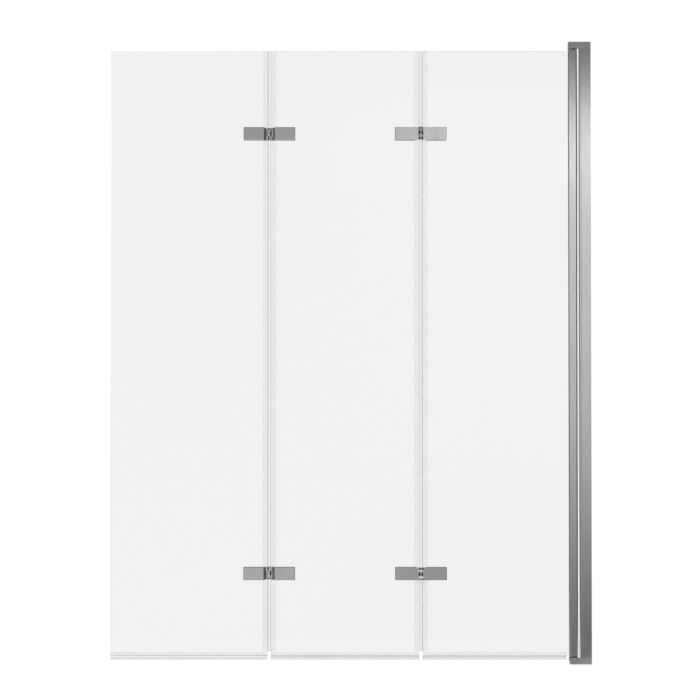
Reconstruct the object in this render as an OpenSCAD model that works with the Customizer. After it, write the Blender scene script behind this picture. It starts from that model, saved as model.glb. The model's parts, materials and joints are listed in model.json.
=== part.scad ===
// Folding bath screen: three frameless glass panels that fold on each other and swing on a wall
// profile. The wall is at x = 0 and the screen runs towards -x. The middle of the glass is at y = 0,
// with the room at -y and the bath at +y. The foot of the wall profile is at z = 0.

/* [Overall size] */
// Height of the wall profile with its end caps
overall_h = 1400; // [1300:10:1500]
// Distance from the wall to the free edge of the outer panel
overall_w = 1080; // [1050:5:1110]
// Distance from the wall to the fold between the inner and the middle panel
inner_fold_reach = 382.5; // [380:0.5:386]
// Distance between the two folds
fold_pitch = 341; // [339:0.5:343]

/* [Glass] */
// Thickness of the glass
glass_t = 6; // [5:0.5:6]
// Gap between two panes at a fold
fold_gap = 7; // [6:0.5:8]
// Height of the lower edge of the glass above the foot of the wall profile
glass_foot = 20; // [20:1:24]
// Distance from the upper edge of the glass to the top of the wall profile
glass_drop = 20; // [19:1:26]
// Bevel on the polished edges of the glass
glass_bevel = 0.6; // [0.3:0.1:1]

/* [Wall profile] */
// Width of the post that covers the wall channel
post_w = 27; // [26:1:32]
// Depth of the post and of the end caps
post_d = 20; // [19:0.5:20]
// Wall thickness of the post and of the wall channel
post_wall = 1.6; // [1.4:0.1:1.8]
// Height of the top pivot cap
top_cap_h = 14.5; // [13:0.5:16]
// Height of the bottom pivot cap
bottom_cap_h = 15.5; // [14:0.5:16]
// Distance from the pivot to the end of the cap's arm
cap_arm = 13.5; // [13:0.5:14]
// Depth of the wall channel
channel_d = 18; // [16:0.5:19]

/* [Pivot profile] */
// Width of the pivot profile
profile_w = 19; // [18:0.5:20]
// Depth of the pivot profile
profile_d = 16; // [15.5:0.5:17]
// Distance from the post to the pivot's axis
pivot_reach = 10.5; // [10.5:0.5:12]
// Radius of the pivot pins
pivot_pin_r = 2.5; // [2:0.1:2.6]

/* [Fold hinges] */
// Height of a hinge
hinge_h = 29; // [28:1:36]
// Distance from the fold to the far end of a plate
hinge_reach = 58; // [54:1:66]
// Distance from the foot of the glass to the middle of the lower hinges
lower_inset = 183; // [120:1:260]
// Distance from the top of the glass to the middle of the upper hinges
upper_inset = 187; // [120:1:260]
// Thickness of a hinge plate
plate_t = 4; // [3.5:0.25:4]
// Bevel round the outer face of a plate
plate_bevel = 0.5; // [0.5:0.25:2]
// Distance from the middle of the glass to the fold's axis
fold_offset = 9.5; // [9.5:0.25:10.5]
// Radius of the knuckles
knuckle_r = 5.5; // [5:0.1:5.5]
// Radius of the hinge pins
hinge_pin_r = 2.5; // [2:0.1:3]

/* [Seals] */
// Length of the legs that grip the glass along a fold
edge_leg = 11.6; // [8:0.2:14]
// Height of the legs that grip the glass along the foot
foot_leg = 8; // [6:0.5:8]
// Distance that the drip lips hang below the glass
lip_drop = 10; // [6:0.5:10]
// Wall thickness of the clear seals
seal_wall = 1; // [0.8:0.1:1.2]

/* [Hidden] */
$fn = 64;
eps = 0.5;        // overrun of a cutter past the face that it opens
press = 0.01;     // radial gap of a pressed or screwed fit
running = 0.06;   // radial gap of a running fit
loose = 0.15;     // radial gap of a clearance hole
face_gap = 0.2;   // gap between faces that slide on each other

// Wall frame
post_top = overall_h - top_cap_h;
post_edge_r = 2;
groove_x = -22;
groove_w = 0.8;
port_x = -post_w + post_wall + 2.4;
port_y = 5.2;
port_r = 1.9;
port_wall = 1.5;
port_mouth = 1.6;
channel_half = post_d / 2 - post_wall - face_gap;
channel_base = 2.2;
cap_end_r = 2;
cap_bevel = 0.8;
cap_foot_r = 6;
tongue = [5, 3.2, 6];
wall_hole_r = 2.6;
wall_hole_inset = [100, 500];
fixing_inset = 150;
fixing_x = -10;
fixing_r = 2;
fixing_head = [3.8, 1.6];
cover = [5.5, 2.6, 0.8];
cap_screw_len = 24;
cap_screw_head_r = 3.2;

// Pivot
pivot_x = -post_w - pivot_reach;
profile_x0 = pivot_x - profile_w + 7;
profile_x1 = pivot_x + 7;
profile_z0 = bottom_cap_h + 2.8;
profile_z1 = post_top - 4.5;
profile_wall = 2;
chamber_w = 7;
chamber_half = profile_d / 2 - profile_wall;
web_t = 1.5;
glazing_x = pivot_x - chamber_w / 2 - web_t;
seal_slot = [1.2, 1];
seal_head = [1, 2.2];
bulb_r = pivot_reach - 0.4;
bulb_half = 3.2;
bulb_wall = 0.8;
bush_flange = 2;
bush_len = 14;
pin_grip = 10;
washer_r = 4.4;

// Panels and folds: index 0 is the inner fold and 1 the outer fold
fold_x = [-inner_fold_reach, -inner_fold_reach - fold_pitch];
fold_face = [-1, 1];
glass_z0 = glass_foot;
glass_z1 = overall_h - glass_drop;
level_z = [glass_z0 + lower_inset, glass_z1 - upper_inset];
glass_hole_r = 5;
pane_x = [
    [fold_x[0] + fold_gap / 2, glazing_x - 0.2],
    [fold_x[1] + fold_gap / 2, fold_x[0] - fold_gap / 2],
    [-overall_w, fold_x[1] - fold_gap / 2],
];
// For each panel its hinge halves, as a fold and the side of the fold that the half is on
halves = [[[0, 1]], [[0, -1], [1, 1]], [[1, -1]]];
foot_seal_end = pivot_x - cap_arm - 4.2;

// Fold hinge, in the fold's own frame: x runs away from the fold along the panel, y out of the face
// that carries the knuckles, and z up from the middle of the hinge
gasket_t = 1;
leaf_y = [-fold_offset + glass_t / 2 + gasket_t, -fold_offset + glass_t / 2 + gasket_t + plate_t];
clamp_y = [-fold_offset - glass_t / 2 - gasket_t, -fold_offset - glass_t / 2 - gasket_t - plate_t];
leaf_x = knuckle_r + 0.8;
clamp_x = 12;
screw_x = [22, 46];
knuckle_break = [-10.5, 5];
washer_t = 0.4;
washer_slack = 0.1;
screw_r = 2.5;
screw_head_r = 4.6;
head_land = 0.3;
tap_depth = 2.8;
socket = [1.73, 2];
gasket_margin = 0.5;

// Node names
FOLDS = ["inner_fold", "outer_fold"];
LEVELS = ["lower", "upper"];
PANELS = ["inner", "middle", "outer"];
HINGE_PIECES = ["pin_leaf", "swing_leaf", "pin_clamp", "swing_clamp", "hinge_pin"];

// ---- Finishes ----

module chrome() { color([0.72, 0.73, 0.75]) children(); }
module steel() { color([0.6, 0.61, 0.63]) children(); }
module nylon() { color([0.25, 0.26, 0.27]) children(); }
module rubber() { color([0.4, 0.41, 0.42]) children(); }
module clear_vinyl() { color([0.86, 0.88, 0.9, 0.6]) children(); }
module clear_glass() { color([0.78, 0.86, 0.86, 0.35]) children(); }

// ---- Shared shapes ----

// Two corner circles at x and the strip between them
module rounded_end(x, half, r) {
    for (s = [-1, 1]) translate([x, s * (half - r)]) circle(r);
    translate([x - r, r - half]) square([2 * r, 2 * (half - r)]);
}

// Outline from x0 to x1, symmetric about y = 0, with corner radius r0 at x0 and r1 at x1
module bar_outline(x0, x1, half, r0 = 0, r1 = 0) {
    translate([x0 + r0, -half]) square([x1 - r1 - x0 - r0, 2 * half]);
    if (r0 > 0) rounded_end(x0 + r0, half, r0);
    if (r1 > 0) rounded_end(x1 - r1, half, r1);
}

// Rectangle between corners p and q with all four corners bevelled by c
module bevelled_rect(p, q, c) {
    polygon([
        [p.x + c, p.y], [q.x - c, p.y], [q.x, p.y + c], [q.x, q.y - c],
        [q.x - c, q.y], [p.x + c, q.y], [p.x, q.y - c], [p.x, p.y + c],
    ]);
}

// Extrusions of an outline along x, from x0 to x1, and along z, from z0 to z1
module along_x(x0, x1) { translate([x0, 0, 0]) rotate([90, 0, 90]) linear_extrude(x1 - x0) children(); }
module along_z(z0, z1) { translate([0, 0, z0]) linear_extrude(z1 - z0) children(); }

// Round bar along y, from y0 to y1
module bar_y(r, y0, y1) { translate([0, y0, 0]) rotate([-90, 0, 0]) cylinder(h = y1 - y0, r = r); }

// Countersunk screw form with its head flush at z = 0 and its shank down to -len
module countersunk(len, shank_r, head_r) {
    cone_h = head_r - shank_r;
    translate([0, 0, -head_land]) cylinder(h = head_land, r = head_r);
    translate([0, 0, -head_land - cone_h]) cylinder(h = cone_h, r1 = shank_r, r2 = head_r);
    translate([0, 0, -len]) cylinder(h = len - head_land - cone_h, r = shank_r);
}

module countersunk_screw(len, shank_r, head_r) {
    difference() {
        countersunk(len, shank_r, head_r);
        translate([0, 0, -socket[1]]) cylinder(h = socket[1] + eps, r = socket[0], $fn = 6);
    }
}

// Flat ring between two radii
module ring(r, bore, h) {
    difference() {
        cylinder(h = h, r = r);
        translate([0, 0, -eps]) cylinder(h = h + 2 * eps, r = bore);
    }
}

// ---- Wall frame ----

module wall_channel() {
    inside = channel_half - post_wall;
    chrome() difference() {
        along_z(bottom_cap_h, post_top) difference() {
            translate([-channel_d, -channel_half]) square([channel_d, 2 * channel_half]);
            translate([-channel_d - eps, -inside]) square([channel_d - channel_base + eps, 2 * inside]);
        }
        for (inset = wall_hole_inset, z = [inset, overall_h - inset])
            translate([-channel_base - eps, 0, z]) rotate([0, 90, 0])
                cylinder(h = channel_base + 2 * eps, r = wall_hole_r);
        for (z = fixing_heights()) translate([fixing_x, 0, z]) bar_y(fixing_r + press, 0, post_d);
    }
}

function fixing_heights() = [fixing_inset, overall_h / 2, overall_h - fixing_inset];

// Open section with rounded front corners, a fine V groove down each face and two screw ports
module post_section() {
    inside = post_d / 2 - post_wall;
    difference() {
        union() {
            difference() {
                bar_outline(-post_w, 0, post_d / 2, post_edge_r);
                translate([-post_w + post_wall, -inside]) square([post_w, 2 * inside]);
            }
            for (s = [-1, 1]) translate([port_x, s * port_y]) circle(port_r + port_wall);
        }
        for (s = [-1, 1]) {
            translate([port_x, s * port_y]) circle(port_r);
            translate([port_x, s * port_y - port_mouth / 2]) square([2 * port_r + port_wall, port_mouth]);
            polygon([
                [groove_x - groove_w / 2 - eps, s * (post_d / 2 + eps)],
                [groove_x + groove_w / 2 + eps, s * (post_d / 2 + eps)],
                [groove_x, s * (post_d / 2 - groove_w / 2)],
            ]);
        }
    }
}

module wall_post() {
    chrome() difference() {
        along_z(bottom_cap_h, post_top) post_section();
        for (z = fixing_heights()) translate([fixing_x, 0, z]) bar_y(fixing_r + loose, 0, post_d);
    }
}

// Cap body of height h, drawn with its inner face at z = 0 and its outer face at z = h. The free end
// of the arm has a rounded edge of radius foot_r on the outer face.
module cap_body(h, foot_r) {
    arm_end = pivot_x - cap_arm;
    difference() {
        intersection() {
            along_z(0, h) bar_outline(arm_end, 0, post_d / 2, cap_end_r);
            along_x(arm_end, 0) polygon([
                [-post_d / 2, 0], [post_d / 2, 0], [post_d / 2, h - cap_bevel],
                [post_d / 2 - cap_bevel, h], [cap_bevel - post_d / 2, h], [-post_d / 2, h - cap_bevel],
            ]);
            translate([0, post_d / 2, 0]) rotate([90, 0, 0]) linear_extrude(post_d) {
                translate([arm_end, 0]) square([-arm_end, h - foot_r]);
                translate([arm_end + foot_r, 0]) square([-arm_end - foot_r, h]);
                translate([arm_end + foot_r, h - foot_r]) circle(foot_r);
            }
        }
        translate([pivot_x, 0, -eps]) cylinder(h = pin_grip + eps, r = pivot_pin_r + press);
        for (s = [-1, 1]) translate([port_x, s * port_y, h])
            countersunk(h + eps, port_r + loose, cap_screw_head_r + loose);
    }
    translate([port_x - tongue.x / 2 + 0.4, -tongue.y / 2, -tongue.z]) cube(tongue + [0, 0, eps]);
}

module top_pivot_cap() { chrome() translate([0, 0, post_top]) cap_body(top_cap_h, cap_bevel); }

module bottom_pivot_cap() {
    chrome() translate([0, 0, bottom_cap_h]) mirror([0, 0, 1]) cap_body(bottom_cap_h, cap_foot_r);
}

// Pin pressed into the top cap, with a collar that rests on the thrust washer
module top_pivot_pin() {
    washer_top = profile_z1 + bush_flange + 1.2;
    collar_r = pivot_pin_r + 0.9;
    steel() translate([pivot_x, 0, 0]) {
        translate([0, 0, profile_z1 - bush_len + 2]) cylinder(h = post_top + pin_grip - profile_z1
            + bush_len - 2.5, r = pivot_pin_r);
        translate([0, 0, washer_top + face_gap]) cylinder(h = post_top - washer_top - face_gap, r = collar_r);
    }
}

module bottom_pivot_pin() {
    steel() translate([pivot_x, 0, bottom_cap_h - pin_grip + eps])
        cylinder(h = pin_grip + profile_z0 - bottom_cap_h + bush_len - 2.5, r = pivot_pin_r);
}

module top_thrust_washer() {
    nylon() translate([pivot_x, 0, profile_z1 + bush_flange]) ring(washer_r, pivot_pin_r + loose, 1.2);
}

module bottom_thrust_washer() {
    h = profile_z0 - bottom_cap_h - bush_flange - face_gap;
    nylon() translate([pivot_x, 0, bottom_cap_h]) ring(washer_r, pivot_pin_r + press, h);
}

module cap_screws() {
    steel() for (s = [-1, 1]) {
        translate([port_x, s * port_y, overall_h])
            countersunk_screw(cap_screw_len, port_r - press, cap_screw_head_r);
        translate([port_x, s * port_y, 0]) mirror([0, 0, 1])
            countersunk_screw(cap_screw_len, port_r - press, cap_screw_head_r);
    }
}

module post_fixing_screws() {
    steel() for (z = fixing_heights()) translate([fixing_x, 0, z]) {
        bar_y(fixing_r, channel_half - post_wall - 1, post_d / 2);
        bar_y(fixing_head[0], post_d / 2, post_d / 2 + fixing_head[1]);
    }
}

// Round covers that clip over the heads of the fixing screws
module screw_cover_caps() {
    chrome() for (z = fixing_heights()) translate([fixing_x, post_d / 2, z]) rotate([-90, 0, 0])
        difference() {
            union() {
                cylinder(h = cover[1] - cover[2], r = cover[0]);
                translate([0, 0, cover[1] - cover[2]])
                    cylinder(h = cover[2], r1 = cover[0], r2 = cover[0] - cover[2]);
            }
            translate([0, 0, -eps])
                cylinder(h = fixing_head[1] + face_gap + eps, r = fixing_head[0] + press);
        }
}

// ---- Pivot profile and what it carries ----

// Glazing channel on the glass side, bush chamber on the axis and a seal groove facing the post
module profile_section() {
    slot_x = profile_x1 - seal_slot.x;
    lip = 0.8;
    difference() {
        bar_outline(profile_x0, profile_x1, profile_d / 2, 1, 3);
        translate([profile_x0 - eps, -chamber_half])
            square([glazing_x - profile_x0 + eps, 2 * chamber_half]);
        translate([pivot_x - chamber_w / 2, -chamber_half]) square([chamber_w, 2 * chamber_half]);
        translate([slot_x, -seal_slot.y]) square([seal_slot.x + eps, 2 * seal_slot.y]);
        translate([slot_x - seal_head.x, -seal_head.y]) square([seal_head.x, 2 * seal_head.y]);
    }
    for (s = [-1, 1]) translate([profile_x0 + 1, s * (chamber_half - lip / 2)])
        square([1.2, lip], center = true);
}

module pivot_profile() { chrome() along_z(profile_z0, profile_z1) profile_section(); }

// Moulded end piece: a plate over the profile's end and a block in its chamber, drawn for the foot
module end_bush() {
    difference() {
        union() {
            along_z(-bush_flange, 0) bar_outline(profile_x0 + 0.4, profile_x1 - 0.6, profile_d / 2 - 0.4, 1, 2.6);
            along_z(-eps, bush_len)
                bar_outline(pivot_x - chamber_w / 2 + loose, pivot_x + chamber_w / 2 - loose, chamber_half - loose);
        }
        translate([pivot_x, 0, -bush_len]) cylinder(h = 3 * bush_len, r = pivot_pin_r + running);
    }
}

module bottom_pivot_bush() { nylon() translate([0, 0, profile_z0]) end_bush(); }
module top_pivot_bush() { nylon() translate([0, 0, profile_z1]) mirror([0, 0, 1]) end_bush(); }

// Wedge strip between the glass and one wall of the glazing channel, ribbed on its outer side
module glazing_strip() {
    y0 = glass_t / 2;
    y1 = chamber_half;
    polygon([
        [profile_x0 + 0.4, y0], [glazing_x - 0.6, y0], [glazing_x - 0.6, y1 - 1], [glazing_x - 1.2, y1],
        [glazing_x - 1.9, y1 - 0.8], [profile_x0 + 2.6, y1], [profile_x0 + 2, y1],
        [profile_x0 + 2, y1 - 1], [profile_x0 + 0.4, y1 - 1],
    ]);
}

module rear_glazing_gasket() { rubber() along_z(glass_z0, glass_z1) glazing_strip(); }
module front_glazing_gasket() { rubber() mirror([0, 1, 0]) along_z(glass_z0, glass_z1) glazing_strip(); }

// Part of a disc about the pivot's axis that lies beyond x and within +-half
module bulb_slice(r, x, half) {
    intersection() {
        translate([pivot_x, 0]) circle(r);
        translate([x, -half]) square([r, 2 * half]);
    }
}

// Hollow bulb towards the post on a T-shaped foot
module pivot_seal() {
    stem = seal_slot.y - 0.1;
    head_x = profile_x1 - seal_slot.x - seal_head.x + 0.1;
    clear_vinyl() along_z(profile_z0, profile_z1) {
        difference() {
            bulb_slice(bulb_r, profile_x1, bulb_half);
            bulb_slice(bulb_r - bulb_wall, profile_x1 + bulb_wall, bulb_half - bulb_wall);
        }
        translate([head_x, -stem]) square([profile_x1 - head_x + bulb_wall / 2, 2 * stem]);
        translate([head_x, 0.1 - seal_head.y]) square([seal_head.x - 0.2, 2 * (seal_head.y - 0.1)]);
    }
}

// ---- Glass ----

// Pane with bevelled edges and the holes of its hinge screws
module pane(panel) {
    x = pane_x[panel];
    half = glass_t / 2;
    clear_glass() difference() {
        intersection() {
            along_z(glass_z0, glass_z1) bevelled_rect([x[0], -half], [x[1], half], glass_bevel);
            along_x(x[0], x[1]) bevelled_rect([-half, glass_z0], [half, glass_z1], glass_bevel);
        }
        for (side = halves[panel], z = level_z, u = screw_x)
            translate([fold_x[side[0]] + side[1] * u, 0, z]) bar_y(glass_hole_r, -glass_t, glass_t);
    }
}

// ---- Seals ----

// Push-on drip seal along the foot of a pane: two legs, a hanging lip and a deflector to the bath
module bottom_seal(panel) {
    x0 = pane_x[panel][0];
    x1 = min(pane_x[panel][1], foot_seal_end);
    half = glass_t / 2;
    outside = half + seal_wall;
    web_z = glass_z0 - seal_wall;
    lip_z = glass_z0 - lip_drop;
    top_z = glass_z0 + foot_leg;
    clear_vinyl() along_x(x0, x1) polygon([
        [-outside, web_z], [-0.7, web_z], [-0.4, lip_z], [0.4, lip_z], [0.7, web_z], [half, web_z],
        [half + 3.6, lip_z + 2.8], [half + 4.4, lip_z + 3], [outside, glass_z0], [outside, top_z - 1],
        [half, top_z], [half, glass_z0], [-half, glass_z0], [-half, top_z], [-outside, top_z - 1],
    ]);
}

// Section of the push-on seal on the edge of a pane at a fold, in the fold's own frame
module edge_seal_section(fin) {
    x0 = fold_gap / 2 - seal_wall;
    half = glass_t / 2;
    translate([0, -fold_offset]) {
        translate([x0, -half - seal_wall]) square([seal_wall, glass_t + 2 * seal_wall]);
        for (s = [-1, 1]) polygon([
            [x0, s * half], [x0, s * (half + seal_wall)],
            [fold_gap / 2 + edge_leg - 1, s * (half + seal_wall)], [fold_gap / 2 + edge_leg, s * half],
        ]);
        if (fin) polygon([
            [x0 + seal_wall / 2, -half - seal_wall], [x0 + seal_wall / 2, -half], [0, -half + 0.4],
            [0.3 - x0, -half - 0.2], [0.3 - x0, -half - seal_wall + 0.1], [0, -half - seal_wall / 2],
        ]);
    }
}

// Edge seal in three lengths, cut to clear the two hinges
module edge_seal(fold, side, fin) {
    cut = hinge_h / 2 + 0.5;
    lengths = [
        [glass_z0 + foot_leg + 0.5, level_z[0] - cut],
        [level_z[0] + cut, level_z[1] - cut],
        [level_z[1] + cut, glass_z1],
    ];
    clear_vinyl() for (span = lengths)
        at_fold(fold, side, 0) along_z(span[0], span[1]) edge_seal_section(fin);
}

module inner_edge_seal() { edge_seal(0, 1, true); }
module middle_right_edge_seal() { edge_seal(0, -1, false); }
module middle_left_edge_seal() { edge_seal(1, 1, true); }
module outer_edge_seal() { edge_seal(1, -1, false); }

// ---- Fold hinges ----

module mirror_if(on, axis) {
    if (on) mirror(axis) children();
    else children();
}

// Sets what is drawn in the fold's own frame on one side of a fold, at height z
module at_fold(fold, side, z) {
    translate([fold_x[fold], fold_face[fold] * fold_offset, z])
        mirror_if(fold_face[fold] < 0, [0, 1, 0]) mirror_if(side < 0, [1, 0, 0]) children();
}

// Sets a hinge piece at one of the two levels. The upper hinges are turned over.
module at_hinge(fold, side, level) {
    at_fold(fold, side, level_z[level]) mirror_if(level == 1, [0, 0, 1]) children();
}

// Section of a plate from a to b along its length, with its outer face at y[1] bevelled
module plate_section(a, b, y) {
    c = plate_bevel * sign(y[1] - y[0]);
    polygon([
        [a, y[0]], [b, y[0]], [b, y[1] - c], [b - plate_bevel, y[1]], [a + plate_bevel, y[1]],
        [a, y[1] - c],
    ]);
}

module plate(x0, y) {
    intersection() {
        along_z(-hinge_h / 2, hinge_h / 2) plate_section(x0, hinge_reach, y);
        translate([hinge_reach, 0, 0]) rotate([0, -90, 0])
            linear_extrude(hinge_reach - x0) plate_section(-hinge_h / 2, hinge_h / 2, y);
    }
}

// Knuckle between two heights, with the neck that joins it to its plate
module knuckle(z0, z1) {
    along_z(z0, z1) {
        circle(knuckle_r);
        translate([0, leaf_y[0]]) square([leaf_x + plate_bevel, plate_t]);
    }
}

// On the outer fold the heads are in the leaves and on the inner fold in the clamps, so that all of
// them are on the bath side
function head_on_leaf(fold) = fold_face[fold] > 0;

// Screw positions of one hinge half, with z pointing out of the face that has the heads
module at_screws(fold) {
    y = head_on_leaf(fold) ? leaf_y[1] : clamp_y[1];
    for (x = screw_x) translate([x, y, 0]) rotate([head_on_leaf(fold) ? -90 : 90, 0, 0]) children();
}

function screw_len() = plate_t + 2 * gasket_t + glass_t + tap_depth;

// What the screws need cut out of the plates: a countersink with clearance on the head's side and a
// blind tapped hole in the other plate
module screw_cut(fold) {
    through = plate_t + gasket_t + glass_t / 2;
    at_screws(fold) {
        countersunk(through, screw_r + loose, screw_head_r + press);
        translate([0, 0, -screw_len() - press]) cylinder(h = screw_len() - through + eps, r = screw_r + press);
    }
}

module leaf(fold, knuckles, bore) {
    difference() {
        union() {
            plate(leaf_x, leaf_y);
            for (span = knuckles) knuckle(span[0], span[1]);
        }
        translate([0, 0, -hinge_h]) cylinder(h = 2 * hinge_h, r = bore);
        screw_cut(fold);
    }
}

module clamp(fold) {
    difference() {
        plate(clamp_x, clamp_y);
        screw_cut(fold);
    }
}

module pin_leaf(fold, level) {
    slack = washer_t + washer_slack;
    spans = [[-hinge_h / 2, knuckle_break[0] - slack / 2], [knuckle_break[1] + slack / 2, hinge_h / 2]];
    chrome() at_hinge(fold, 1, level) leaf(fold, spans, hinge_pin_r + press);
}

module swing_leaf(fold, level) {
    slack = washer_t + washer_slack;
    spans = [[knuckle_break[0] + slack / 2, knuckle_break[1] - slack / 2]];
    chrome() at_hinge(fold, -1, level) leaf(fold, spans, hinge_pin_r + running);
}

module pin_clamp(fold, level) { chrome() at_hinge(fold, 1, level) clamp(fold); }
module swing_clamp(fold, level) { chrome() at_hinge(fold, -1, level) clamp(fold); }

// Pin with bevelled ends, just short of the leaf at both ends
module hinge_pin(fold, level) {
    bevel = 0.4;
    len = hinge_h - 0.6;
    steel() at_hinge(fold, 1, level) translate([0, 0, -len / 2]) {
        cylinder(h = bevel, r1 = hinge_pin_r - bevel, r2 = hinge_pin_r);
        translate([0, 0, bevel]) cylinder(h = len - 2 * bevel, r = hinge_pin_r);
        translate([0, 0, len - bevel]) cylinder(h = bevel, r1 = hinge_pin_r, r2 = hinge_pin_r - bevel);
    }
}

// Washers between the knuckles, against the knuckles of the pin leaf
module fold_washers(fold) {
    rise = (washer_t + washer_slack) / 2;
    nylon() for (level = [0, 1]) at_hinge(fold, 1, level) {
        translate([0, 0, knuckle_break[0] - rise]) ring(knuckle_r - 0.3, hinge_pin_r + press, washer_t);
        translate([0, 0, knuckle_break[1] + rise - washer_t])
            ring(knuckle_r - 0.3, hinge_pin_r + press, washer_t);
    }
}

// Sets a drawing on every hinge half of a panel
module on_halves(panel) {
    for (side = halves[panel], level = [0, 1]) at_hinge(side[0], side[1], level) children();
}

// Pad between the glass and a plate that starts at x0, from y0 to y0 + gasket_t
module hinge_gasket(x0, y0) {
    half = hinge_h / 2 - gasket_margin;
    difference() {
        translate([x0, y0, -half]) cube([hinge_reach - gasket_margin - x0, gasket_t, 2 * half]);
        for (x = screw_x) translate([x, 0, 0]) bar_y(screw_r + loose, y0 - eps, y0 + gasket_t + eps);
    }
}

module hinge_gaskets(panel) {
    rubber() on_halves(panel) {
        hinge_gasket(leaf_x, leaf_y[0] - gasket_t);
        hinge_gasket(clamp_x + gasket_margin, clamp_y[0]);
    }
}

module hinge_screws(panel) {
    steel() for (side = halves[panel], level = [0, 1]) at_hinge(side[0], side[1], level)
        at_screws(side[0]) countersunk_screw(screw_len(), screw_r, screw_head_r);
}

module glass_sleeves(panel) {
    nylon() on_halves(panel) for (x = screw_x)
        translate([x, -fold_offset - glass_t / 2, 0]) rotate([-90, 0, 0])
            ring(glass_hole_r - press, screw_r + loose, glass_t);
}

// ---- Assembly ----

wall_channel();
wall_post();
top_pivot_cap();
bottom_pivot_cap();
top_pivot_pin();
bottom_pivot_pin();
top_thrust_washer();
bottom_thrust_washer();
cap_screws();
post_fixing_screws();
screw_cover_caps();
pivot_profile();
top_pivot_bush();
bottom_pivot_bush();
front_glazing_gasket();
rear_glazing_gasket();
pivot_seal();
inner_edge_seal();
middle_right_edge_seal();
middle_left_edge_seal();
outer_edge_seal();

for (panel = [0:2]) {
    pane(panel);
    bottom_seal(panel);
    hinge_gaskets(panel);
    hinge_screws(panel);
    glass_sleeves(panel);
}

for (fold = [0, 1]) {
    fold_washers(fold);
    for (level = [0, 1]) {
        name = str(LEVELS[level], "_", FOLDS[fold], "_");
        pin_leaf(fold, level);
        swing_leaf(fold, level);
        pin_clamp(fold, level);
        swing_clamp(fold, level);
        hinge_pin(fold, level);
    }
}
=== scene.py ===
"""Folding bath screen: finishes, clear seals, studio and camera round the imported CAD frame.

The wall is at x = 0 and the screen runs towards -x. The middle of the glass is at y = 0, with
the room at -y and the bath at +y, and the foot of the wall profile is at z = 0. Everything is in
metres in that frame; sections of seals and pads are drawn in millimetres and scaled as they are
placed.
"""

import json
import logging
import math
from collections.abc import Callable, Mapping, Sequence
from dataclasses import dataclass
from enum import Enum
from typing import ClassVar, Union

import bmesh
import bpy
from mathutils import Matrix, Vector


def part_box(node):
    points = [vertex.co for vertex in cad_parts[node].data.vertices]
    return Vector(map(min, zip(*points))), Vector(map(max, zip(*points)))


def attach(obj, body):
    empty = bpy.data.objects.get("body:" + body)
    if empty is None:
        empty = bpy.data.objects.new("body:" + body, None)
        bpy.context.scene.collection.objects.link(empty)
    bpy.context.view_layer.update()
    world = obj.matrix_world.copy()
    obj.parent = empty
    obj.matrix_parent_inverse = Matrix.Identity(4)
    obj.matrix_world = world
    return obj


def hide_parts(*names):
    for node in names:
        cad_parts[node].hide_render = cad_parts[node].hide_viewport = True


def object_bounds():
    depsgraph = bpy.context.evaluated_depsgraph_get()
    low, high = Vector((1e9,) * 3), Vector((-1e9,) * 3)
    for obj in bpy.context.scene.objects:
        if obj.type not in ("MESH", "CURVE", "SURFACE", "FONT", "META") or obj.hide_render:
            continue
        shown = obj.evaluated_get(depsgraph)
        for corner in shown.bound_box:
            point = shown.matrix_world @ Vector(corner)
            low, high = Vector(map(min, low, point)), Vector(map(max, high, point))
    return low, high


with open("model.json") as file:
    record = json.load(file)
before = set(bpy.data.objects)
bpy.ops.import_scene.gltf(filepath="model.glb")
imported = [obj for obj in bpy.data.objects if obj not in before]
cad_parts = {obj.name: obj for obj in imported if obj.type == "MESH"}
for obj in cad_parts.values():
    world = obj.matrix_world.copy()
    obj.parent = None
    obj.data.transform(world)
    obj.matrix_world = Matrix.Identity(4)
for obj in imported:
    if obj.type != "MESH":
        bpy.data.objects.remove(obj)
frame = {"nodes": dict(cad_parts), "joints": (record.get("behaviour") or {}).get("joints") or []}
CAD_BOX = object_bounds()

MM = 0.001
LEVELS = ("lower", "upper")
log = logging.getLogger("bath_screen")

Value = Union[float, Sequence[float], "Wire"]
Point = tuple[float, float]
Triple = tuple[float, float, float]


# ---- Shader nodes ----


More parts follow.
